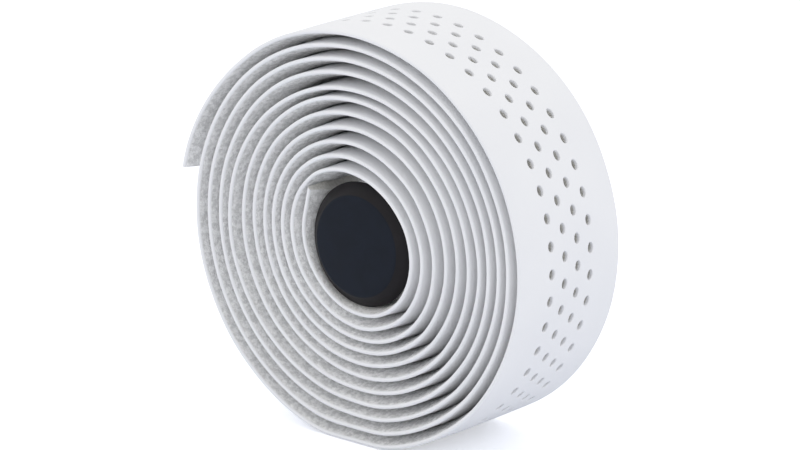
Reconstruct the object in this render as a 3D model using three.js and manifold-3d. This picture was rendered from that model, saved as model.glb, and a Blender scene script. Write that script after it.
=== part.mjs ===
// Roll of handlebar tape standing on its tread, with a bar end plug in its core.
// The axis of the roll lies along Y, the face of the plug looks along -Y, and Z is up.
// The origin is the middle of the small flat that the roll rests on.
// Lengths are in millimetres, and angles in degrees turn from +X towards +Z.
import * as THREE from "three";
import { mergeGeometries, mergeVertices } from "three/addons/utils/BufferGeometryUtils.js";
import Module from "manifold-3d";

// Tape as cut: a soft strip whose back is skived down to a thin lip along both edges
const tapeWidth = 30;
const tapeThickness = 2.4;
const lipThickness = 0.85;
const skiveWidth = 6;

// Winding: turns are counted from the inner end, outwards and towards +Z from +X
const turns = 11.09;
const innerEndAngle = 137;
const meanSlack = 0.33;
const leastGap = 0.2;
const pitch = tapeThickness + meanSlack;

// The turns are not round: each layer of the roll has its own middle and its own oval
const coreLayer = { across: 0.7, up: -0.5, oval: 0.3, slant: -0.7 };
const middleLayer = { across: 1.5, up: 0.3, oval: 0.3, slant: -0.3 };
const outerLayer = { across: -0.2, up: -0.3, oval: 0.45, slant: 0.1 };
const middleFrom = { turn: 2.9, over: 3.2 };
const outerFrom = { turn: 8, over: 6 };

// One turn is wound tight and then springs loose
const looseTurn = { turn: 7.03, over: 0.17, rise: 1.4 };

// Free ends: the inner one springs away from the core, the outer one stands off the roll
const innerSpring = { rise: 0.8, over: 15 };
const outerLift = { rise: 1.5, over: 42 };

// The roll settles a little on its tread, and the turns above give way with it
const restSag = 0.5;
const sagTurns = 6;

// Perforation of the outer turn: rows across the tape, every second one half a step on
const holesPerTurn = 49;
const holeRows = 4;
const rowPitch = 3.93;
const patternShift = 0.1;
const patternAngle = 88.05;
const holeLength = 2.3;
const holeWidth = 1.8;
const holeEndMargin = 4;
const holeSides = 6;

// Bar end plug: head with a raised disc, and a ribbed hollow shank that points back
const discRadius = 10;
const discEdge = 0.25;
const rimRadius = 12.3;
const rimDrop = 2;
const rimThickness = 0.5;
const rimRound = 0.2;
const plugInset = 0.3;
const plugAcross = 1.3;
const plugUp = -0.3;
const plugWall = 1.7;
const shankRadius = 8.7;
const shankLength = 14;
const shankTip = 0.6;
const ribCount = 3;
const ribHeight = 1.3;
const ribRise = 0.12;
const ribCrest = 0.36;
const ribFall = 0.72;
const ribStart = 3;
const ribPitch = 3.6;
const plugSides = 40;

// The rim of the plug seats on the skived edge of the core and spreads the first turns
const seatClearance = 0.3;
const plugSpread = { rise: 0.4, turns: 1.5 };

// How finely the winding is drawn, in millimetres along it and in degrees
const longestStep = 5;
const widestStep = 12;

// How finely its tightest and lowest places are looked for, in degrees
const scanStep = 0.25;
const flatSearch = 30;
const flatHalvings = 40;

// Corners closer than this are one corner
const mergeDistance = 1e-4;

const totalAngle = turns * 360;
const outerStart = totalAngle - 360;
const radians = THREE.MathUtils.degToRad;

// Depth of the tape's back under its skin, at a distance from the edge
function backDepth(fromEdge) {
  const share = Math.min(fromEdge / skiveWidth, 1);
  return lipThickness + (tapeThickness - lipThickness) * share;
}

// How far the skin lies outside the radius that the winding starts from
function windingRise(angle) {
  const turn = angle / 360;
  const theta = radians(innerEndAngle + angle);
  const toMiddle = THREE.MathUtils.smoothstep(turn, middleFrom.turn - middleFrom.over / 2,
    middleFrom.turn + middleFrom.over / 2);
  const toOuter = THREE.MathUtils.smoothstep(turn, outerFrom.turn - outerFrom.over / 2,
    outerFrom.turn + outerFrom.over / 2);
  const drift = (key) => coreLayer[key]
    + (middleLayer[key] - coreLayer[key]) * toMiddle
    + (outerLayer[key] - middleLayer[key]) * toOuter;
  const shape = drift("across") * Math.cos(theta) + drift("up") * Math.sin(theta)
    + drift("oval") * Math.cos(2 * theta) + drift("slant") * Math.sin(2 * theta);
  const spread = plugSpread.rise * Math.exp(-turn / plugSpread.turns);
  const past = (turn - looseTurn.turn) / looseTurn.over;
  const loose = looseTurn.rise * past * Math.exp(-(past ** 2));
  const spring = innerSpring.rise * Math.exp(-angle / innerSpring.over);
  const lift = outerLift.rise * THREE.MathUtils.smoothstep(angle, totalAngle - outerLift.over, totalAngle);
  return pitch * turn + shape + spread + loose + spring + lift;
}

// The winding starts where its tightest place just clears the rim and the ribs of the plug
function startRadius() {
  let tightest = Infinity;
  for (let angle = 0; angle <= 360; angle += scanStep) {
    const theta = radians(innerEndAngle + angle);
    const towardsPlug = plugAcross * Math.cos(theta) + plugUp * Math.sin(theta);
    tightest = Math.min(tightest, windingRise(angle) - towardsPlug);
  }
  const rimSeat = rimRadius + backDepth(plugInset + rimDrop + rimThickness);
  const ribSeat = shankRadius + ribHeight + tapeThickness;
  return Math.max(rimSeat, ribSeat) + seatClearance - tightest;
}

const coreRadius = startRadius();

// Radius of the skin at a winding angle, before the roll settles on its tread
function freeRadius(angle) {
  return coreRadius + windingRise(angle);
}

// Height of the skin of the outer turn above the middle of the roll
function freeHeight(angle) {
  return freeRadius(angle) * Math.sin(radians(innerEndAngle + angle));
}

// The winding angle in the outer turn that lies straight above or below another angle
function outermost(angle) {
  const back = (totalAngle - angle) % 360;
  return totalAngle - back;
}

// The lowest place of the free roll, found by walking round its outer turn
function lowestAngle() {
  let lowest = outerStart;
  for (let angle = outerStart; angle < totalAngle; angle += scanStep) {
    if (freeHeight(angle) < freeHeight(lowest)) lowest = angle;
  }
  return lowest;
}

const bottomAngle = lowestAngle();
const restDepth = -freeHeight(bottomAngle) - restSag;

// Where the skin meets the resting plane, on one side of the lowest place
function flatEnd(side) {
  let inside = bottomAngle;
  let outside = bottomAngle + side * flatSearch;
  for (let halving = 0; halving < flatHalvings; halving += 1) {
    const middle = (inside + outside) / 2;
    if (freeHeight(middle) < -restDepth) inside = middle;
    else outside = middle;
  }
  return inside;
}

// How far the resting plane presses the roll in, at a winding angle
function sagAt(angle) {
  const above = outermost(angle);
  const height = freeHeight(above);
  if (height >= -restDepth) return 0;
  const pressed = restDepth / -Math.sin(radians(innerEndAngle + above));
  const turnsUnder = (above - angle) / 360;
  return (freeRadius(above) - pressed) * Math.max(0, 1 - turnsUnder / sagTurns);
}

function skinRadius(angle) {
  return freeRadius(angle) - sagAt(angle);
}

// The foam is pressed thinner where two turns are wound closer than its thickness
function thicknessAt(angle) {
  if (angle < 360) return tapeThickness;
  return Math.min(tapeThickness, skinRadius(angle) - skinRadius(angle - 360) - leastGap);
}

// A point of the wound tape from its place across, its depth under the skin and its angle
function woundPoint(across, depth, angle) {
  const share = (thicknessAt(angle) - lipThickness) / (tapeThickness - lipThickness);
  const pressed = depth > lipThickness ? lipThickness + (depth - lipThickness) * share : depth;
  const theta = radians(innerEndAngle + angle);
  const radius = skinRadius(angle) - pressed;
  return new THREE.Vector3(radius * Math.cos(theta), across, radius * Math.sin(theta));
}

// Section of the tape, across its width and down from the skin
function tapeSection() {
  const edge = tapeWidth / 2;
  const body = edge - skiveWidth;
  const corners = [
    [-edge, 0], [edge, 0], [edge, lipThickness],
    [body, tapeThickness], [-body, tapeThickness], [-edge, lipThickness],
  ];
  return new THREE.Shape(corners.map(([across, depth]) => new THREE.Vector2(across, depth)));
}

// The tape is extruded flat, one step to each winding angle, and then rolled up
function woundTape(angles) {
  const steps = angles.length - 1;
  const strip = new THREE.ExtrudeGeometry(tapeSection(), { depth: steps, steps, bevelEnabled: false });
  const places = strip.getAttribute("position");
  for (let i = 0; i < places.count; i += 1) {
    const angle = angles[Math.round(places.getZ(i))];
    const point = woundPoint(places.getX(i), places.getY(i), angle);
    places.setXYZ(i, point.x, point.y, point.z);
  }
  return strip;
}

// Winding angles of the inner turns, closer together as the roll grows
function innerAngles() {
  const angles = [0];
  while (angles.at(-1) < outerStart) {
    const here = angles.at(-1);
    const step = Math.min(widestStep, THREE.MathUtils.radToDeg(longestStep / skinRadius(here)));
    angles.push(Math.min(here + step, outerStart));
  }
  const last = angles.length - 1;
  angles[last - 1] = (angles[last - 2] + angles[last]) / 2;
  return angles;
}

const holeStep = 360 / holesPerTurn;
const quarterStep = holeStep / 4;
// Winding angle of the first hole of the unshifted rows in the outer turn
const firstHole = outerStart + THREE.MathUtils.euclideanModulo(
  patternAngle - innerEndAngle - outerStart, holeStep);

// Winding angles of the outer turn: between the holes, and at both ends of the flat
function outerAngles() {
  const angles = [outerStart, totalAngle, flatEnd(-1), flatEnd(1)];
  for (let angle = firstHole - holeStep + quarterStep; angle < totalAngle; angle += holeStep) {
    const clear = angles.every((other) => Math.abs(other - angle) > quarterStep);
    if (angle > outerStart && clear) angles.push(angle);
  }
  return angles.sort((a, b) => a - b);
}

// One punch for each perforation, longer than the tape is thick
function punches() {
  const list = [];
  for (let row = 0; row < holeRows; row += 1) {
    const across = patternShift + (row - (holeRows - 1) / 2) * rowPitch;
    const shift = row % 2 === 0 ? 0 : holeStep / 2;
    for (let angle = firstHole - shift; angle < totalAngle; angle += holeStep) {
      const margin = THREE.MathUtils.radToDeg(holeEndMargin / skinRadius(angle));
      if (angle < outerStart + margin || angle > totalAngle - margin) continue;
      const theta = radians(innerEndAngle + angle);
      const along = new THREE.Vector3(-Math.sin(theta), 0, Math.cos(theta));
      const outward = new THREE.Vector3(Math.cos(theta), 0, Math.sin(theta));
      const axial = new THREE.Vector3(0, 1, 0);
      const punch = new THREE.CylinderGeometry(1, 1, tapeThickness * 2, holeSides);
      punch.scale(holeLength / 2, 1, holeWidth / 2);
      punch.applyMatrix4(new THREE.Matrix4().makeBasis(along, outward, axial));
      const middle = outward.multiplyScalar(skinRadius(angle) - tapeThickness / 2);
      punch.translate(middle.x, across, middle.z);
      list.push(punch);
    }
  }
  return mergeGeometries(list);
}

const wasm = await Module();
wasm.setup();

function solidOf(geometry) {
  const bare = new THREE.BufferGeometry();
  bare.setAttribute("position", geometry.getAttribute("position"));
  bare.setIndex(geometry.getIndex());
  const merged = mergeVertices(bare, mergeDistance);
  const vertProperties = new Float32Array(merged.getAttribute("position").array);
  const triVerts = new Uint32Array(merged.getIndex().array);
  return new wasm.Manifold(new wasm.Mesh({ numProp: 3, vertProperties, triVerts }));
}

function geometryOf(solid) {
  const mesh = solid.getMesh();
  const geometry = new THREE.BufferGeometry();
  geometry.setAttribute("position", new THREE.BufferAttribute(mesh.vertProperties, 3));
  geometry.setIndex(new THREE.BufferAttribute(mesh.triVerts, 1));
  geometry.computeVertexNormals();
  return geometry;
}

// The outer turn is punched before it joins the turns under it
function tapeGeometry() {
  const innerTurns = solidOf(woundTape(innerAngles()));
  const outerTurn = solidOf(woundTape(outerAngles())).subtract(solidOf(punches()));
  return geometryOf(outerTurn.add(innerTurns));
}

// Half section of the plug, from the middle of its face round to the floor of its hollow
function plugProfile() {
  const face = -tapeWidth / 2 + plugInset;
  const rimFront = face + rimDrop;
  const rimBack = rimFront + rimThickness;
  const shankEnd = rimBack + shankLength;
  const hollowFloor = rimFront + plugWall;
  const hollowRadius = shankRadius - plugWall;
  const outline = [
    [0, face], [discRadius - discEdge, face], [discRadius, face + discEdge],
    [rimRadius - rimRound, rimFront], [rimRadius, rimFront + rimRound],
    [rimRadius, rimBack - rimRound], [rimRadius - rimRound, rimBack], [shankRadius, rimBack],
  ];
  for (let rib = 0; rib < ribCount; rib += 1) {
    const start = rimBack + ribStart + rib * ribPitch;
    const crest = start + ribRise;
    outline.push([shankRadius, start], [shankRadius + ribHeight, crest]);
    outline.push([shankRadius + ribHeight, crest + ribCrest], [shankRadius, crest + ribCrest + ribFall]);
  }
  outline.push([shankRadius, shankEnd - shankTip], [shankRadius - shankTip, shankEnd]);
  outline.push([hollowRadius, shankEnd], [hollowRadius, hollowFloor], [0, hollowFloor]);
  return outline.map(([radius, along]) => new THREE.Vector2(radius, along));
}

function plugGeometry() {
  const plug = new THREE.LatheGeometry(plugProfile(), plugSides);
  plug.translate(plugAcross, 0, plugUp);
  return plug;
}

const restAcross = (woundPoint(0, 0, flatEnd(-1)).x + woundPoint(0, 0, flatEnd(1)).x) / 2;

const tapeMaterial = new THREE.MeshStandardMaterial({ color: 0xe6e8ee, roughness: 0.85, metalness: 0 });
const plugMaterial = new THREE.MeshStandardMaterial({ color: 0x24272f, roughness: 0.5, metalness: 0 });

const tape = new THREE.Mesh(tapeGeometry(), tapeMaterial);
tape.name = "tape";
const plug = new THREE.Mesh(plugGeometry(), plugMaterial);
plug.name = "bar_end_plug";

const roll = new THREE.Group();
roll.add(tape, plug);
roll.position.set(-restAcross, 0, restDepth);

export default roll;
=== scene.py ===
# Roll of handlebar tape standing on its tread, with a bar end plug in its core.
# The axis of the roll lies along Y, the face of the plug looks along -Y, and Z is up.
# Sizes are in millimetres, and each finished mesh is brought to metres and to its place.
# Angles in degrees turn from +X towards +Z.
import math

import bmesh
import bpy
from mathutils import Matrix, Vector, noise


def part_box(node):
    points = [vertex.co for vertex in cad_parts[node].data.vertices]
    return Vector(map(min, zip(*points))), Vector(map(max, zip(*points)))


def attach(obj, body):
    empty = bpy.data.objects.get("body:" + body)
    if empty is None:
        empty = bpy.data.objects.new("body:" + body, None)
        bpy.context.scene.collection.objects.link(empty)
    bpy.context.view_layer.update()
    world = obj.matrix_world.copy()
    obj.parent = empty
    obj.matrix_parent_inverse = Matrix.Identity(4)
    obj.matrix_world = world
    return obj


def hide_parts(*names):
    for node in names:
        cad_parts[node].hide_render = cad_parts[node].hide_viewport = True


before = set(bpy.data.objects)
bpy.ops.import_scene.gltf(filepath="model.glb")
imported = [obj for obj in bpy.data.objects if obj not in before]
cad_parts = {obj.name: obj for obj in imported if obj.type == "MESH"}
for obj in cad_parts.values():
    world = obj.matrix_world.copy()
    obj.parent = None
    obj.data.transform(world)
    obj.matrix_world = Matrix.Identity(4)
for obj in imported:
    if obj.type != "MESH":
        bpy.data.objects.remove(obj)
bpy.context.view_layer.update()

MM = 0.001

# Tape as cut: a soft strip whose back is skived down to a thin lip along both edges
TAPE_WIDTH = 30
TAPE_THICKNESS = 2.4
LIP_THICKNESS = 0.85
SKIVE_WIDTH = 6

# Winding: turns are counted from the inner end, outwards and towards +Z from +X
TURNS = 11.094
INNER_END_ANGLE = 137
INNER_TRIM = 4
PITCH = TAPE_THICKNESS + 0.33
LEAST_GAP = 0.2
LAYERS = {
    "core": {"across": 0.7, "up": -0.5, "oval": 0.3, "slant": -0.7},
    "middle": {"across": 1.5, "up": 0.3, "oval": 0.3, "slant": -0.3},
    "outer": {"across": -0.2, "up": -0.3, "oval": 0.45, "slant": 0.1},
}
MIDDLE_FROM = {"turn": 2.9, "over": 3.2}
OUTER_FROM = {"turn": 8, "over": 6}
LOOSE_TURN = {"turn": 7.03, "over": 0.17, "rise": 1.4}
INNER_SPRING = {"rise": 0.8, "over": 15}
INNER_LIFT = {"rise": 0.9, "over": 10}
OUTER_LIFT = {"rise": 1.5, "over": 42}
TOTAL_ANGLE = TURNS * 360
OUTER_START = TOTAL_ANGLE - 360
SCAN_STEP = 0.25

# The roll settles on a small flat, and the turns above it give way with it
REST_SAG = 0.5
SAG_SOFTNESS = 0.5
SAG_TURNS = 6

# The front edges of the soft turns are drawn in, most on the side that the tape was pulled from
EDGE_DRAW = {"core": 0.44, "outer": 0.22, "across": 0.44, "up": 0.13, "slant": 0.07}
EDGE_DRAW_FROM = 4
FIRST_TURN_DRAW = {"rise": 0.9, "turns": 0.25, "free": 25}

# Hand-wound tape wanders: its edges lie in and out, the lips curl, and the skived back is lumpy
NOISE_REACH = 2
EDGE_WANDER = 0.22
EDGE_WAVE = {"per_turn": 3, "side_shift": 0, "seed": 17}
LIP_CURL = 0.14
LIP_CURL_FROM = 0.6
LIP_SLOW_WAVE = {"per_turn": 5, "side_shift": 31, "seed": 3}
LIP_FAST_WAVE = {"per_turn": 17, "side_shift": 7, "seed": 5}
LIP_FAST_SHARE = 0.5
BACK_LUMPS = {"height": 0.07, "along": 0.35, "across": 0.9, "seed": 11}

# Perforation of the outer turn: rows across the tape, every second one half a step on
HOLES_PER_TURN = 49
HOLE_STEP = 360 / HOLES_PER_TURN
HOLE_ROWS = 4
ROW_PITCH = 3.93
PATTERN_SHIFT = 0.1
PATTERN_ANGLE = 88.05
HOLE_LENGTH = 2.15
HOLE_WIDTH = 1.55
HOLE_ROUND = 0.24
HOLE_ROUND_LEANS = (0, 30, 60, 90)
HOLE_SKIN_DEPTH = 0.7
HOLE_END_MARGIN = 4

# Bar end plug: head with a raised disc, and a ribbed hollow shank that points back
DISC_RADIUS = 10.1
DISC_EDGE = 0.35
RIM_RADIUS = 12.5
RIM_DROP = 2
RIM_THICKNESS = 0.5
PLUG_INSET = 0.3
PLUG_ACROSS = 1.3
PLUG_UP = -0.3
PLUG_LEAN = {"across": -0.33, "up": -0.29}
PLUG_WALL = 1.7
SHANK_RADIUS = 8.7
SHANK_LENGTH = 14
RIB_COUNT = 3
RIB_HEIGHT = 1.1
RIB_RISE = 0.12
RIB_CREST = 0.36
RIB_FALL = 0.72
RIB_START = 3
RIB_PITCH = 3.6
PLUG_STEPS = 128
RIM_ROUND = 0.2
SHANK_ROUND = 0.3
RIB_ROUND = 0.1
RIB_CREST_ROUND = 0.08
SOFT_ROUND = 0.5
ROUND_PIECES = 3

# The rim of the plug seats on the skived edge of the core and spreads the first turns
SEAT_RADIUS = 12.3
RIB_SEAT_HEIGHT = 1.3
SEAT_CLEARANCE = 0.3
PLUG_SPREAD = {"rise": 0.4, "turns": 1.5}

# The first turns give way to the plug: to its head, and behind the rim to its ribs
PRESSED_TURNS = 1.3
PLUG_HOLD = 0.06
RIM_EASE = 0.3
RIBS_FROM = {"start": 0.6, "end": 3.5}

# Mesh of the tape: columns across it and steps along it
HOLE_BLOCK = 1.25
WIDEST_COLUMN = 1.35
LIP_PIECES = 6
SKIVE_PIECES = 6
HOLE_ROW_STEPS = 8
ROW_ANGLE = HOLE_STEP / HOLE_ROW_STEPS
BLOCK_HALF_ROWS = 2.1
LONGEST_STEP = 2.1
WIDEST_STEP = 6
MERGE = 1e-4
SHARP_ANGLE = 38

# The flat strip runs to thousands of degrees, where single precision is coarse
STRIP_MERGE = 1e-3

# Finishes: which of its piece's materials a face takes
SKIN, FELT, FOAM = range(3)
PLUG_BODY, PLUG_FACE = range(2)

# Parts of each noise that are brought to 0 and 1
PATCH_LIMITS = (0.35, 0.65)
BLOTCH_LIMITS = (0.39, 0.61)
FIBRE_LIMITS = (0.38, 0.62)

# Studio
WORLD_LIGHT = 1.03
LAMPS = [("overhead_softbox", (-0.25, -0.35, 1.3), (1.2, 1.2), 0.3)]
FLOOR_HALF = 6
FLOOR_TONE = (0.86, 0.885, 0.95)
FLOOR_ROUGHNESS = 0.9
FLOOR_GLOW = 0.4

# Viewing angle and distance of the photograph, found from the roll's outline and its holes
VIEW_AZIMUTH = 40.489
VIEW_ELEVATION = 16.427
VIEW_DISTANCE = 806.5
VIEW_LENS = 184.6
VIEW_SENSOR = 36
VIEW_SHIFT = {"right": -0.226, "up": 0.33}

# The plug's own place in the frame gives the middle of the roll
plug_low, plug_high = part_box("bar_end_plug")
plug_middle = (plug_low + plug_high) / 2 / MM
ROLL_MIDDLE = Vector((plug_middle.x - PLUG_ACROSS, 0, plug_middle.z - PLUG_UP))


def smoothstep(value, low, high):
    share = min(max((value - low) / (high - low), 0), 1)
    return share * share * (3 - 2 * share)


def step_over(turn, place):
    """Smooth step from 0 to 1 about a turn, over a number of turns."""
    half = place["over"] / 2
    return smoothstep(turn, place["turn"] - half, place["turn"] + half)


def winding_rise(angle):
    """How far the skin lies outside the radius that the winding starts from."""
    turn = angle / 360
    theta = math.radians(INNER_END_ANGLE + angle)
    to_middle = step_over(turn, MIDDLE_FROM)
    to_outer = step_over(turn, OUTER_FROM)
    drift = {
        key: core
        + (LAYERS["middle"][key] - core) * to_middle
        + (LAYERS["outer"][key] - LAYERS["middle"][key]) * to_outer
        for key, core in LAYERS["core"].items()
    }
    shape = drift["across"] * math.cos(theta) + drift["up"] * math.sin(theta)
    shape += drift["oval"] * math.cos(2 * theta) + drift["slant"] * math.sin(2 * theta)
    spread = PLUG_SPREAD["rise"] * math.exp(-turn / PLUG_SPREAD["turns"])
    past = (turn - LOOSE_TURN["turn"]) / LOOSE_TURN["over"]
    loose = LOOSE_TURN["rise"] * past * math.exp(-(past**2))
    spring = INNER_SPRING["rise"] * math.exp(-angle / INNER_SPRING["over"])
    lift = OUTER_LIFT["rise"] * smoothstep(angle, TOTAL_ANGLE - OUTER_LIFT["over"], TOTAL_ANGLE)
    return PITCH * turn + shape + spread + loose + spring + lift


def back_depth(from_edge):
    """Depth of the tape's back under its skin, at a distance from the edge."""
    share = min(from_edge / SKIVE_WIDTH, 1)
    return LIP_THICKNESS + (TAPE_THICKNESS - LIP_THICKNESS) * share


def start_radius():
    """The winding starts where its tightest place just clears the rim and the ribs of the plug."""
    tightest = math.inf
    for step in range(round(360 / SCAN_STEP) + 1):
        angle = step * SCAN_STEP
        theta = math.radians(INNER_END_ANGLE + angle)
        towards_plug = PLUG_ACROSS * math.cos(theta) + PLUG_UP * math.sin(theta)
        tightest = min(tightest, winding_rise(angle) - towards_plug)
    rim_seat = SEAT_RADIUS + back_depth(PLUG_INSET + RIM_DROP + RIM_THICKNESS)
    rib_seat = SHANK_RADIUS + RIB_SEAT_HEIGHT + TAPE_THICKNESS
    return max(rim_seat, rib_seat) + SEAT_CLEARANCE - tightest


CORE_RADIUS = start_radius()


def free_radius(angle):
    return CORE_RADIUS + winding_rise(angle)


def free_height(angle):
    return free_radius(angle) * math.sin(math.radians(INNER_END_ANGLE + angle))


def lowest_height():
    steps = round(360 / SCAN_STEP)
    return min(free_height(OUTER_START + step * SCAN_STEP) for step in range(steps))


REST_DEPTH = -lowest_height() - REST_SAG


def sag_at(angle):
    """How far the resting plane presses the roll in, at a winding angle; it bends softly."""
    above = TOTAL_ANGLE - (TOTAL_ANGLE - angle) % 360
    if free_height(above) >= -REST_DEPTH / 2:
        return 0
    pressed = REST_DEPTH / -math.sin(math.radians(INNER_END_ANGLE + above))
    past_plane = free_radius(above) - pressed
    share = min(max((1 + past_plane / SAG_SOFTNESS) / 2, 0), 1)
    sag = past_plane * share + SAG_SOFTNESS * share * (1 - share)
    turns_under = (above - angle) / 360
    return sag * max(0, 1 - turns_under / SAG_TURNS)


def skin_radius(angle):
    lift = INNER_LIFT["rise"] * math.exp(-angle / INNER_LIFT["over"])
    return free_radius(angle) + lift - sag_at(angle)


def thickness_at(angle):
    """The foam is pressed thinner where two turns are wound closer than its thickness."""
    if angle < 360:
        return TAPE_THICKNESS
    return min(TAPE_THICKNESS, skin_radius(angle) - skin_radius(angle - 360) - LEAST_GAP)


def edge_draw(angle):
    """How far the front edge is drawn in towards the core, at a winding angle."""
    theta = math.radians(INNER_END_ANGLE + angle)
    turn = angle / 360
    draw = EDGE_DRAW["core"] + (EDGE_DRAW["outer"] - EDGE_DRAW["core"]) * turn / TURNS
    draw += EDGE_DRAW["across"] * math.cos(theta) + EDGE_DRAW["up"] * math.sin(theta)
    draw += EDGE_DRAW["slant"] * math.sin(2 * theta)
    first = FIRST_TURN_DRAW["rise"] * math.exp(-turn / FIRST_TURN_DRAW["turns"])
    return max(0, draw) + first * smoothstep(angle, 0, FIRST_TURN_DRAW["free"])


FIRST_HOLE = OUTER_START + (PATTERN_ANGLE - INNER_END_ANGLE - OUTER_START) % HOLE_STEP


def row_angles():
    """Winding angles of the mesh: even steps of length, then the lattice of the perforation."""
    first_row = math.ceil((OUTER_START - FIRST_HOLE) / ROW_ANGLE)
    last_row = math.floor((TOTAL_ANGLE - FIRST_HOLE) / ROW_ANGLE)
    lattice = [FIRST_HOLE + row * ROW_ANGLE for row in range(first_row, last_row)]
    angles = [INNER_TRIM]
    while angles[-1] < lattice[0] - ROW_ANGLE:
        step = min(WIDEST_STEP, math.degrees(LONGEST_STEP / skin_radius(angles[-1])))
        angles.append(angles[-1] + step)
    angles[-1] = (angles[-2] + lattice[0]) / 2
    return angles + lattice + [TOTAL_ANGLE]


def row_across(row):
    return PATTERN_SHIFT + (row - (HOLE_ROWS - 1) / 2) * ROW_PITCH


def columns_between(half_width):
    """Mesh columns between two corners of the section, three at each row of holes."""
    marks = [
        row_across(row) + side * HOLE_BLOCK for row in range(HOLE_ROWS) for side in (-1, 0, 1)
    ]
    left_gap = marks[0] + half_width
    right_gap = half_width - marks[-1]
    left_steps = math.ceil(left_gap / WIDEST_COLUMN)
    right_steps = math.ceil(right_gap / WIDEST_COLUMN)
    left = [-half_width + left_gap * step / left_steps for step in range(1, left_steps)]
    right = [marks[-1] + right_gap * step / right_steps for step in range(1, right_steps)]
    return left + marks + right


def tape_outline():
    """Section of the tape, once round it: across, and down from the skin."""
    edge = TAPE_WIDTH / 2
    lip = LIP_THICKNESS / 2
    body = edge - SKIVE_WIDTH
    right = [(edge - lip, 0)]
    for piece in range(1, LIP_PIECES):
        turn = math.pi * piece / LIP_PIECES
        right.append((edge - lip + lip * math.sin(turn), lip - lip * math.cos(turn)))
    for piece in range(SKIVE_PIECES + 1):
        share = piece / SKIVE_PIECES
        across = edge - lip + (body - edge + lip) * share
        right.append((across, LIP_THICKNESS + (TAPE_THICKNESS - LIP_THICKNESS) * share))
    left = [(-across, depth) for across, depth in reversed(right)]
    skin = [(across, 0) for across in columns_between(edge - lip)]
    back = [(across, TAPE_THICKNESS) for across in reversed(columns_between(body))]
    return skin + right + back + left


def row_start(row):
    return FIRST_HOLE - row % 2 * HOLE_STEP / 2


def hole_near(co):
    """Angle and place across of the perforation whose block holds a point of the flat strip."""
    row = round((co.y - row_across(0)) / ROW_PITCH)
    if not 0 <= row < HOLE_ROWS or abs(co.y - row_across(row)) > HOLE_BLOCK + MERGE:
        return None
    angle = row_start(row) + round((co.x - row_start(row)) / HOLE_STEP) * HOLE_STEP
    margin = math.degrees(HOLE_END_MARGIN / skin_radius(angle))
    inside = OUTER_START + margin < angle < TOTAL_ANGLE - margin
    if not inside or abs(co.x - angle) > BLOCK_HALF_ROWS * ROW_ANGLE:
        return None
    return angle, row_across(row)


def flat_strip(angles, outline):
    """The tape laid out straight: X is the winding angle, Y across, and Z up from the skin."""
    strip = bmesh.new()
    rows = len(angles) - 1
    around = len(outline)
    bmesh.ops.create_grid(strip, x_segments=rows, y_segments=around, size=1)
    for vert in strip.verts:
        row = round((vert.co.x + 1) / 2 * rows)
        across, depth = outline[round((vert.co.y + 1) / 2 * around) % around]
        vert.co = (angles[row], across, -depth)
    bmesh.ops.remove_doubles(strip, verts=strip.verts[:], dist=STRIP_MERGE)
    return strip


# Once round the block of faces that a perforation takes out, in steps of the mesh
BLOCK_WALK = [(2, 0), (2, 1), (1, 1), (0, 1), (-1, 1), (-2, 1)]
BLOCK_WALK += [(-along, -across) for along, across in BLOCK_WALK]


def place_in_block(co):
    """The perforation that a corner of a block belongs to, and its turn round the oval."""
    angle, across = hole_near(co)
    step = (round((co.x - angle) / ROW_ANGLE), round((co.y - across) / HOLE_BLOCK))
    return angle, across, 2 * math.pi * BLOCK_WALK.index(step) / len(BLOCK_WALK)


def oval_ring(strip, edges, widen, depth, place_of):
    """Draws the open edges of the perforations in to their ovals, and returns the new edges."""
    old = {vert for edge in edges for vert in edge.verts}
    made = bmesh.ops.extrude_edge_only(strip, edges=edges)["geom"]
    ring = [
        edge for edge in made
        if isinstance(edge, bmesh.types.BMEdge) and old.isdisjoint(edge.verts)
    ]
    for vert in dict.fromkeys(vert for edge in ring for vert in edge.verts):
        others = (edge.other_vert(vert) for edge in vert.link_edges)
        before = next(other for other in others if other in old)
        place_of[vert] = place_of.get(before) or place_in_block(before.co)
        angle, across, turn = place_of[vert]
        reach = math.degrees((HOLE_LENGTH / 2 + widen) / skin_radius(angle))
        vert.co.x = angle + reach * math.cos(turn)
        vert.co.y = across + (HOLE_WIDTH / 2 + widen) * math.sin(turn)
        vert.co.z = -depth
    return ring


def punch(strip):
    """Cuts the perforations through the outer turn; the punch draws the skin into each."""
    inside = []
    for face in strip.faces:
        middle = face.calc_center_median()
        flat = middle.z > -MERGE or middle.z < MERGE - TAPE_THICKNESS
        if flat and middle.x > OUTER_START and hole_near(middle):
            inside.append(face)
    taken = set(inside)
    rim = [
        edge for edge in strip.edges
        if 0 < len(taken.intersection(edge.link_faces)) < len(edge.link_faces)
    ]
    skin_rim = [edge for edge in rim if edge.verts[0].co.z > -MERGE]
    back_rim = [edge for edge in rim if edge.verts[0].co.z < -MERGE]
    bmesh.ops.delete(strip, geom=inside, context="FACES")
    place_of = {}
    for lean in HOLE_ROUND_LEANS:
        turn = math.radians(lean)
        widen = HOLE_ROUND * (1 - math.sin(turn))
        skin_rim = oval_ring(strip, skin_rim, widen, HOLE_ROUND * (1 - math.cos(turn)), place_of)
    skin_rim = oval_ring(strip, skin_rim, 0, HOLE_SKIN_DEPTH, place_of)
    oval_ring(strip, skin_rim, 0, TAPE_THICKNESS, place_of)
    oval_ring(strip, back_rim, 0, TAPE_THICKNESS, place_of)
    bmesh.ops.remove_doubles(strip, verts=list(place_of), dist=STRIP_MERGE)


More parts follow.
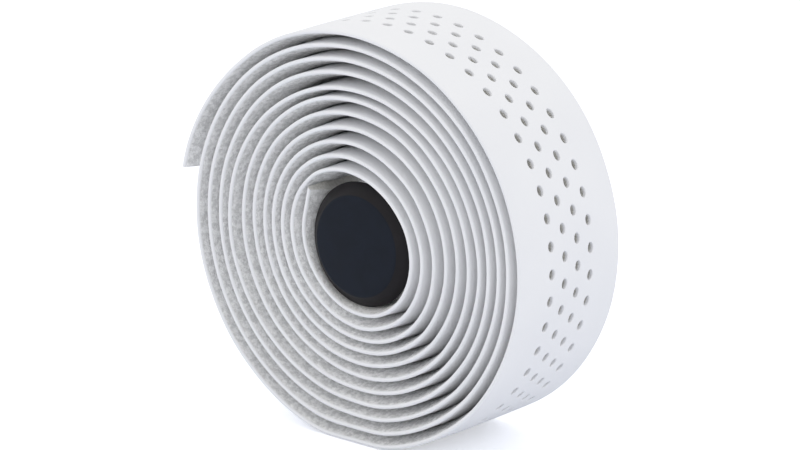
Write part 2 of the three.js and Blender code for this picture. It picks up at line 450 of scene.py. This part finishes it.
def choose_finishes(strip):
    """Gives each face of the flat strip its finish: skin, felt back, or the cut foam of a hole."""
    lip_edge = TAPE_WIDTH / 2 - LIP_THICKNESS / 2
    for face in strip.faces:
        middle = face.calc_center_median()
        depths = [-vert.co.z for vert in face.verts]
        on_lip = abs(middle.y) > lip_edge + MERGE
        if on_lip or max(depths) < HOLE_SKIN_DEPTH + MERGE:
            face.material_index = SKIN
        elif min(depths) < HOLE_SKIN_DEPTH + MERGE:
            face.material_index = FOAM
        else:
            face.material_index = FELT


def close_ends(strip):
    """Closes both cut ends of the flat strip, which show the foam between skin and felt."""
    edges = [edge for edge in strip.edges if edge.is_boundary]
    ends = bmesh.ops.holes_fill(strip, edges=edges, sides=0)["faces"]
    for end in ends:
        end.material_index = FOAM
    bmesh.ops.triangulate(strip, faces=ends)


def wander(wave, run, side):
    """A smooth wandering value from -1 to 1 along one edge of the tape, at a number of turns."""
    place = run * wave["per_turn"] + side * wave["side_shift"]
    return noise.noise(Vector((place, wave["seed"], 0))) * NOISE_REACH


def plug_reach(along):
    """Radius that the plug takes up at a place along its axis, with the rim's hold on the tape."""
    rim_front = PLUG_INSET + RIM_DROP - TAPE_WIDTH / 2
    rim_back = rim_front + RIM_THICKNESS
    if along > rim_back + SHANK_LENGTH:
        return 0
    ribs = SHANK_RADIUS + RIB_HEIGHT
    to_rim = smoothstep(along, rim_front - RIM_DROP, rim_front - RIM_EASE)
    to_ribs = smoothstep(along, rim_back + RIBS_FROM["start"], rim_back + RIBS_FROM["end"])
    head = DISC_RADIUS + (RIM_RADIUS - DISC_RADIUS) * to_rim
    return head + (ribs - head) * to_ribs + PLUG_HOLD


def roll_up(strip):
    """Winds the flat strip into the roll, with the unevenness of soft tape wound by hand."""
    edge = TAPE_WIDTH / 2
    plug_across = PLUG_ACROSS + PLUG_LEAN["across"]
    plug_up = PLUG_UP + PLUG_LEAN["up"]
    rows = {}
    for vert in strip.verts:
        angle, across, depth = vert.co.x, vert.co.y, -vert.co.z
        key = round(angle, 3)
        if key not in rows:
            rows[key] = (skin_radius(angle), thickness_at(angle), edge_draw(angle))
        radius, thickness, draw = rows[key]
        on_skin = depth < MERGE
        if depth > LIP_THICKNESS:
            share = (thickness - LIP_THICKNESS) / (TAPE_THICKNESS - LIP_THICKNESS)
            depth = LIP_THICKNESS + (depth - LIP_THICKNESS) * share
        run = angle / 360
        side = math.copysign(1, across)
        outwards = abs(across) / edge
        curl = max(0, outwards - LIP_CURL_FROM) / (1 - LIP_CURL_FROM)
        lip_wander = wander(LIP_SLOW_WAVE, run, side)
        lip_wander += LIP_FAST_SHARE * wander(LIP_FAST_WAVE, run, side)
        radius += LIP_CURL * curl**2 * lip_wander * min(1, run)
        radius -= draw * smoothstep(-across, EDGE_DRAW_FROM, edge)
        if depth > LIP_THICKNESS + MERGE and outwards > LIP_CURL_FROM:
            lump_at = (angle * BACK_LUMPS["along"], across * BACK_LUMPS["across"])
            lump = noise.noise(Vector((*lump_at, BACK_LUMPS["seed"])))
            depth += BACK_LUMPS["height"] * lump * NOISE_REACH
        across += EDGE_WANDER * outwards**2 * (wander(EDGE_WAVE, run, side) - 1) / 2 * side
        theta = math.radians(INNER_END_ANGLE + angle)
        radius -= depth
        place = Vector((
            radius * math.cos(theta) - plug_across,
            radius * math.sin(theta) - plug_up,
        ))
        reach = plug_reach(across)
        if run < PRESSED_TURNS and not on_skin and place.length < reach:
            place *= reach / place.length
        vert.co = (place.x + plug_across, across, place.y + plug_up)


def shade(mesh_data):
    """Smooth shading, with sharp edges kept where the surface turns."""
    for edge in mesh_data.edges:
        edge.smooth = edge.calc_face_angle(0) < math.radians(SHARP_ANGLE)
    for face in mesh_data.faces:
        face.smooth = True


def piece_from(mesh_data, name, node, materials):
    """Brings a finished mesh to its place in metres, as a piece that stands for a solid."""
    place = Matrix.Scale(MM, 4) @ Matrix.Translation(ROLL_MIDDLE)
    bmesh.ops.transform(mesh_data, matrix=place, verts=mesh_data.verts[:])
    bmesh.ops.recalc_face_normals(mesh_data, faces=mesh_data.faces[:])
    shade(mesh_data)
    data = bpy.data.meshes.new(name)
    mesh_data.to_mesh(data)
    mesh_data.free()
    for material in materials:
        data.materials.append(material)
    piece = bpy.data.objects.new(name, data)
    bpy.context.scene.collection.objects.link(piece)
    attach(piece, "root")
    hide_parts(node)
    return piece


def wound_tape(materials):
    strip = flat_strip(row_angles(), tape_outline())
    punch(strip)
    choose_finishes(strip)
    close_ends(strip)
    roll_up(strip)
    return piece_from(strip, "wound_tape", "tape", materials)


def plug_profile():
    """Half section of the plug as corners: radius, place along Y, and the rounding there."""
    face = PLUG_INSET - TAPE_WIDTH / 2
    rim_front = face + RIM_DROP
    rim_back = rim_front + RIM_THICKNESS
    shank_end = rim_back + SHANK_LENGTH
    hollow_floor = rim_front + PLUG_WALL
    hollow_radius = SHANK_RADIUS - PLUG_WALL
    rib_radius = SHANK_RADIUS + RIB_HEIGHT
    corners = [
        (0, face, 0),
        (DISC_RADIUS, face, DISC_EDGE),
        (RIM_RADIUS, rim_front, RIM_ROUND),
        (RIM_RADIUS, rim_back, RIM_ROUND),
        (SHANK_RADIUS, rim_back, SHANK_ROUND),
    ]
    for rib in range(RIB_COUNT):
        start = rim_back + RIB_START + rib * RIB_PITCH
        crest = start + RIB_RISE
        corners += [
            (SHANK_RADIUS, start, RIB_ROUND),
            (rib_radius, crest, RIB_CREST_ROUND),
            (rib_radius, crest + RIB_CREST, RIB_ROUND),
            (SHANK_RADIUS, crest + RIB_CREST + RIB_FALL, RIB_ROUND),
        ]
    corners += [
        (SHANK_RADIUS, shank_end, SOFT_ROUND),
        (hollow_radius, shank_end, SHANK_ROUND),
        (hollow_radius, hollow_floor, SOFT_ROUND),
        (0, hollow_floor, 0),
    ]
    return corners


def end_plug(materials):
    profile = bmesh.new()
    corners = plug_profile()
    verts = [profile.verts.new((radius, along, 0)) for radius, along, _ in corners]
    for first, second in zip(verts, verts[1:]):
        profile.edges.new((first, second))
    for vert, (_, _, rounding) in zip(verts, corners):
        if rounding:
            bmesh.ops.bevel(
                profile, geom=[vert], offset=rounding, segments=ROUND_PIECES, profile=0.5,
                affect="VERTICES", material=-1,
            )
    bmesh.ops.spin(
        profile, geom=profile.verts[:] + profile.edges[:], axis=(0, 1, 0), cent=(0, 0, 0),
        steps=PLUG_STEPS, angle=2 * math.pi, use_merge=True,
    )
    bmesh.ops.remove_doubles(profile, verts=profile.verts[:], dist=MERGE)
    disc_back = PLUG_INSET - TAPE_WIDTH / 2 + DISC_EDGE
    for face in profile.faces:
        middle = face.calc_center_median()
        flat = middle.y < disc_back and math.hypot(middle.x, middle.z) < DISC_RADIUS
        face.material_index = PLUG_FACE if flat else PLUG_BODY
    lean = Vector((PLUG_ACROSS + PLUG_LEAN["across"], 0, PLUG_UP + PLUG_LEAN["up"]))
    bmesh.ops.translate(profile, verts=profile.verts[:], vec=lean)
    return piece_from(profile, "moulded_end_plug", "bar_end_plug", materials)


def effect_group(name, inputs, outputs):
    """An effect that several finishes share, as a node group with named inputs and outputs."""
    group = bpy.data.node_groups.new(name, "ShaderNodeTree")
    for label, value in inputs.items():
        socket = group.interface.new_socket(label, in_out="INPUT", socket_type="NodeSocketFloat")
        socket.default_value = value
    for label in outputs:
        group.interface.new_socket(label, in_out="OUTPUT", socket_type="NodeSocketFloat")
    return group, group.nodes.new("NodeGroupInput"), group.nodes.new("NodeGroupOutput")


def noise_in(group, per_metre, detail):
    """Noise on the piece's own coordinates, at a scale that comes from a socket."""
    place = group.nodes.new("ShaderNodeTexCoord")
    cloud = group.nodes.new("ShaderNodeTexNoise")
    cloud.inputs["Detail"].default_value = detail
    group.links.new(place.outputs["Object"], cloud.inputs["Vector"])
    group.links.new(per_metre, cloud.inputs["Scale"])
    return cloud.outputs["Fac"]


def stretched(group, value, limits):
    """Brings the part of a value between two limits to 0 and 1."""
    spread = group.nodes.new("ShaderNodeMapRange")
    spread.inputs["From Min"].default_value = limits[0]
    spread.inputs["From Max"].default_value = limits[1]
    group.links.new(value, spread.inputs["Value"])
    return spread.outputs["Result"]


def fine_grain():
    """Very fine even grain, as on a smooth coated skin or on eroded plastic, over slow patches."""
    inputs = {"Grains per metre": 5000, "Patches per metre": 60}
    group, given, result = effect_group("fine_grain", inputs, ("Height", "Patches"))
    grain = noise_in(group, given.outputs["Grains per metre"], 2)
    patches = noise_in(group, given.outputs["Patches per metre"], 2)
    group.links.new(grain, result.inputs["Height"])
    group.links.new(stretched(group, patches, PATCH_LIMITS), result.inputs["Patches"])
    return group


def fibre_mottle():
    """Blotches and short fibres of felt or of cut foam."""
    inputs = {"Blotches per metre": 1000, "Fibres per metre": 3600, "Fibre share": 0.4}
    group, given, result = effect_group("fibre_mottle", inputs, ("Mask", "Height"))
    coarse = noise_in(group, given.outputs["Blotches per metre"], 1)
    blotches = stretched(group, coarse, BLOTCH_LIMITS)
    fine = noise_in(group, given.outputs["Fibres per metre"], 2)
    fibres = stretched(group, fine, FIBRE_LIMITS)
    blend = group.nodes.new("ShaderNodeMix")
    group.links.new(given.outputs["Fibre share"], blend.inputs["Factor"])
    group.links.new(blotches, blend.inputs["A"])
    group.links.new(fibres, blend.inputs["B"])
    group.links.new(blend.outputs["Result"], result.inputs["Mask"])
    group.links.new(fibres, result.inputs["Height"])
    return group


def finish(name, effect, settings, mask, tones, rough, gloss, relief):
    """A finish whose colour and roughness vary over the piece with an effect's mask."""
    material = bpy.data.materials.new(name)
    material.use_nodes = True
    nodes = material.node_tree.nodes
    links = material.node_tree.links
    shader = nodes["Principled BSDF"]
    shader.inputs["Specular IOR Level"].default_value = gloss
    pattern = nodes.new("ShaderNodeGroup")
    pattern.node_tree = effect
    for label, value in settings.items():
        pattern.inputs[label].default_value = value
    colour = nodes.new("ShaderNodeMix")
    colour.data_type = "RGBA"
    colour.inputs["A"].default_value = (*tones[0], 1)
    colour.inputs["B"].default_value = (*tones[1], 1)
    links.new(pattern.outputs[mask], colour.inputs["Factor"])
    links.new(colour.outputs["Result"], shader.inputs["Base Color"])
    roughness = nodes.new("ShaderNodeMapRange")
    roughness.inputs["To Min"].default_value = rough[0]
    roughness.inputs["To Max"].default_value = rough[1]
    links.new(pattern.outputs[mask], roughness.inputs["Value"])
    links.new(roughness.outputs["Result"], shader.inputs["Roughness"])
    bump = nodes.new("ShaderNodeBump")
    bump.inputs["Distance"].default_value = relief * MM
    links.new(pattern.outputs["Height"], bump.inputs["Height"])
    links.new(bump.outputs["Normal"], shader.inputs["Normal"])
    return material


def pale_floor():
    """Plain pale floor, which glows a little to the camera alone."""
    sheet = bmesh.new()
    bmesh.ops.create_grid(sheet, x_segments=1, y_segments=1, size=FLOOR_HALF)
    data = bpy.data.meshes.new("pale_floor")
    sheet.to_mesh(data)
    sheet.free()
    floor = bpy.data.objects.new("pale_floor", data)
    bpy.context.scene.collection.objects.link(floor)
    paper = bpy.data.materials.new("floor_paper")
    paper.use_nodes = True
    nodes = paper.node_tree.nodes
    links = paper.node_tree.links
    shader = nodes["Principled BSDF"]
    shader.inputs["Base Color"].default_value = (*FLOOR_TONE, 1)
    shader.inputs["Roughness"].default_value = FLOOR_ROUGHNESS
    shader.inputs["Specular IOR Level"].default_value = 0
    shader.inputs["Emission Color"].default_value = (1, 1, 1, 1)
    rays = nodes.new("ShaderNodeLightPath")
    lift = nodes.new("ShaderNodeMath")
    lift.operation = "MULTIPLY"
    lift.inputs[1].default_value = FLOOR_GLOW
    links.new(rays.outputs["Is Camera Ray"], lift.inputs[0])
    links.new(lift.outputs[0], shader.inputs["Emission Strength"])
    data.materials.append(paper)


def white_sky():
    """Soft white light from all round; the camera and reflections see plain white."""
    world = bpy.data.worlds.new("studio")
    bpy.context.scene.world = world
    world.use_nodes = True
    nodes = world.node_tree.nodes
    links = world.node_tree.links
    sky = nodes["Background"]
    sky.inputs["Color"].default_value = (1, 1, 1, 1)
    rays = nodes.new("ShaderNodeLightPath")
    seen = nodes.new("ShaderNodeMath")
    seen.operation = "MAXIMUM"
    links.new(rays.outputs["Is Camera Ray"], seen.inputs[0])
    links.new(rays.outputs["Is Glossy Ray"], seen.inputs[1])
    strength = nodes.new("ShaderNodeMapRange")
    strength.inputs["To Min"].default_value = WORLD_LIGHT
    links.new(seen.outputs[0], strength.inputs["Value"])
    links.new(strength.outputs["Result"], sky.inputs["Strength"])


def lamps():
    """Rectangular lamps that face the middle of the roll."""
    for name, place, size, power in LAMPS:
        light = bpy.data.lights.new(name, "AREA")
        light.shape = "RECTANGLE"
        light.size, light.size_y = size
        light.energy = power
        lamp = bpy.data.objects.new(name, light)
        lamp.location = place
        towards_roll = ROLL_MIDDLE * MM - Vector(place)
        lamp.rotation_euler = towards_roll.to_track_quat("-Z", "Y").to_euler()
        bpy.context.scene.collection.objects.link(lamp)


def camera():
    azimuth = math.radians(VIEW_AZIMUTH)
    elevation = math.radians(VIEW_ELEVATION)
    away = Vector((
        math.sin(azimuth) * math.cos(elevation),
        -math.cos(azimuth) * math.cos(elevation),
        math.sin(elevation),
    ))
    right = Vector((math.cos(azimuth), math.sin(azimuth), 0))
    aim = ROLL_MIDDLE + right * VIEW_SHIFT["right"] + away.cross(right) * VIEW_SHIFT["up"]
    lens = bpy.data.cameras.new("camera")
    lens.lens = VIEW_LENS
    lens.sensor_width = VIEW_SENSOR
    eye = bpy.data.objects.new("camera", lens)
    eye.location = (aim + away * VIEW_DISTANCE) * MM
    eye.rotation_euler = (-away).to_track_quat("-Z", "Y").to_euler()
    bpy.context.scene.collection.objects.link(eye)
    bpy.context.scene.camera = eye


grain = fine_grain()
mottle = fibre_mottle()

tape_skin = finish(
    "tape_skin", grain, {"Grains per metre": 6000, "Patches per metre": 45}, "Patches",
    tones=((0.815, 0.82, 0.842), (0.838, 0.842, 0.86)),
    rough=(0.58, 0.66), gloss=0.35, relief=0.012,
)
felt_back = finish(
    "felt_back", mottle, {"Blotches per metre": 1000, "Fibres per metre": 3600}, "Mask",
    tones=((0.66, 0.66, 0.655), (0.99, 0.99, 0.985)),
    rough=(0.9, 0.98), gloss=0.15, relief=0.08,
)
cut_foam = finish(
    "cut_foam", mottle, {"Blotches per metre": 1700, "Fibres per metre": 5200}, "Mask",
    tones=((0.62, 0.61, 0.57), (0.8, 0.79, 0.755)),
    rough=(0.9, 0.98), gloss=0.1, relief=0.06,
)
plug_body = finish(
    "plug_body", grain, {"Grains per metre": 7000, "Patches per metre": 220}, "Patches",
    tones=((0.009, 0.0078, 0.0095), (0.0125, 0.011, 0.013)),
    rough=(0.42, 0.52), gloss=0.18, relief=0.01,
)
# The disc's dark tone is the plastic's own; its blue tint, bluer than the rim, is a painted
# reflection of the sky.
plug_face_painted_reflection = finish(
    "plug_face_painted_reflection", grain, {"Grains per metre": 9000, "Patches per metre": 260}, "Patches",
    tones=((0.006, 0.009, 0.016), (0.0085, 0.012, 0.0205)),
    rough=(0.5, 0.6), gloss=0.14, relief=0.008,
)

wound_tape([tape_skin, felt_back, cut_foam])
end_plug([plug_body, plug_face_painted_reflection])
pale_floor()
white_sky()
lamps()
camera()

bpy.context.scene.view_settings.view_transform = "Standard"
